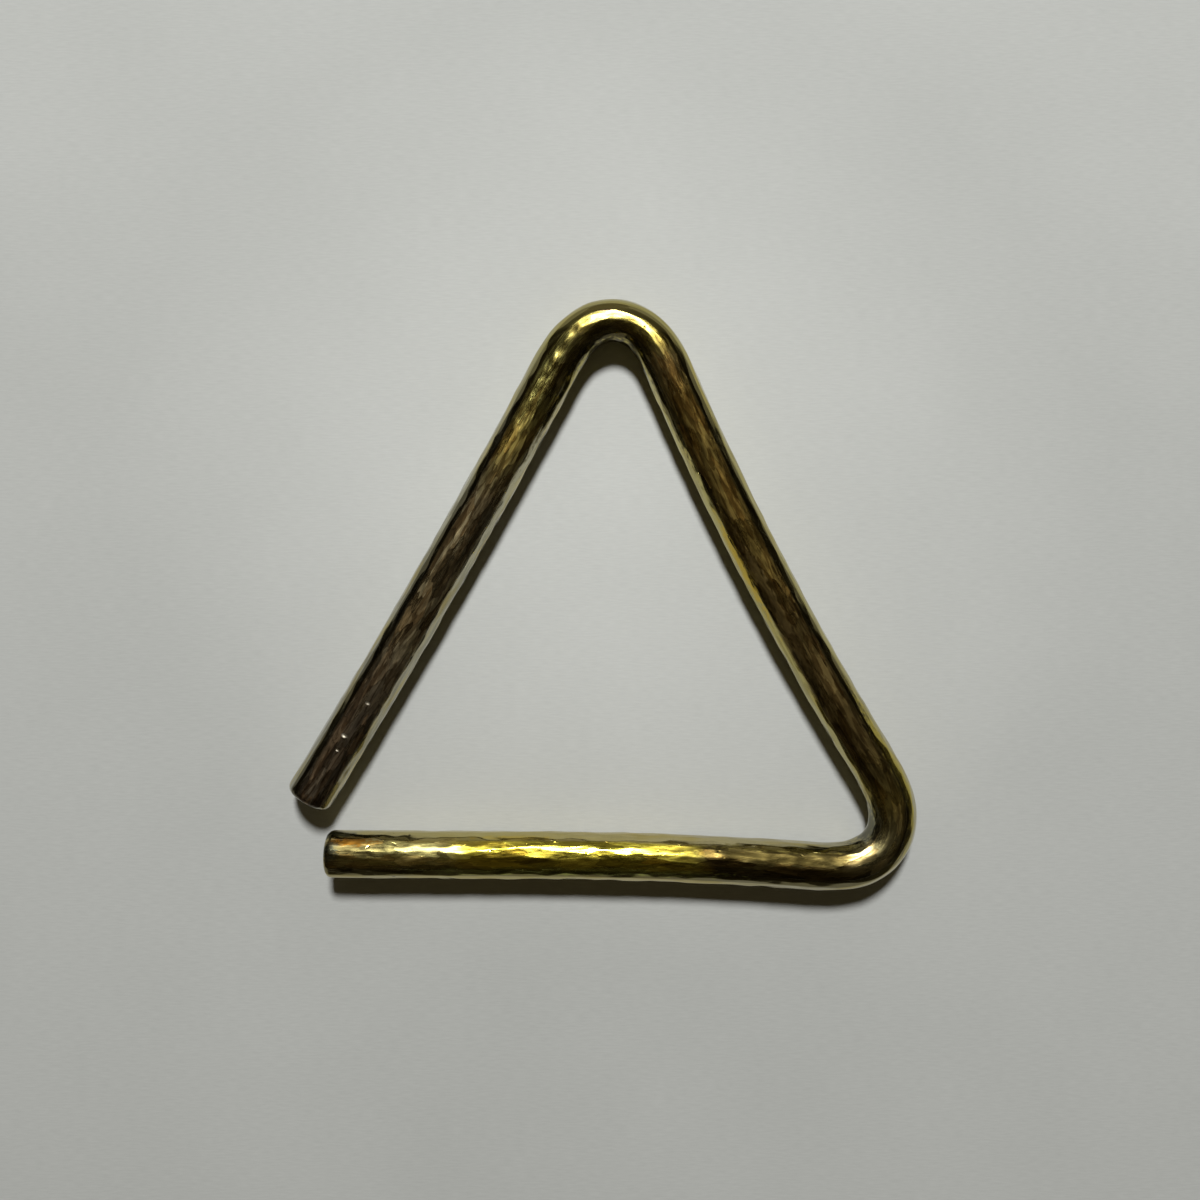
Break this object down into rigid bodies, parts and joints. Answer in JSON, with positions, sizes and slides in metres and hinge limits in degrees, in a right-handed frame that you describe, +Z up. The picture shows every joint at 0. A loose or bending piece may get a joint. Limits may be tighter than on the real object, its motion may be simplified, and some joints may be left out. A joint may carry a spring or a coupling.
{
  "type": "triangle instrument",
  "caption": "Hammered brass triangle for percussion: one round bar bent into a triangle that is open at one corner.",
  "frame": {"origin": "on the surface that the triangle lies on, under the middle of its outline", "axes": "+X along the bottom leg, from its cut end to the closed corner; +Y across the triangle, from the bottom leg towards the top bend; +Z up, square to the plane of the triangle"},
  "size_m": [0.1628, 0.1532, 0.0124],
  "materials": {
    "patinated_brass": "hand-hammered and polished, with an uneven brown and olive patina"
  },
  "bodies": {
    "root": {"sounding_bar": "patinated_brass"}
  },
  "joints": []
}
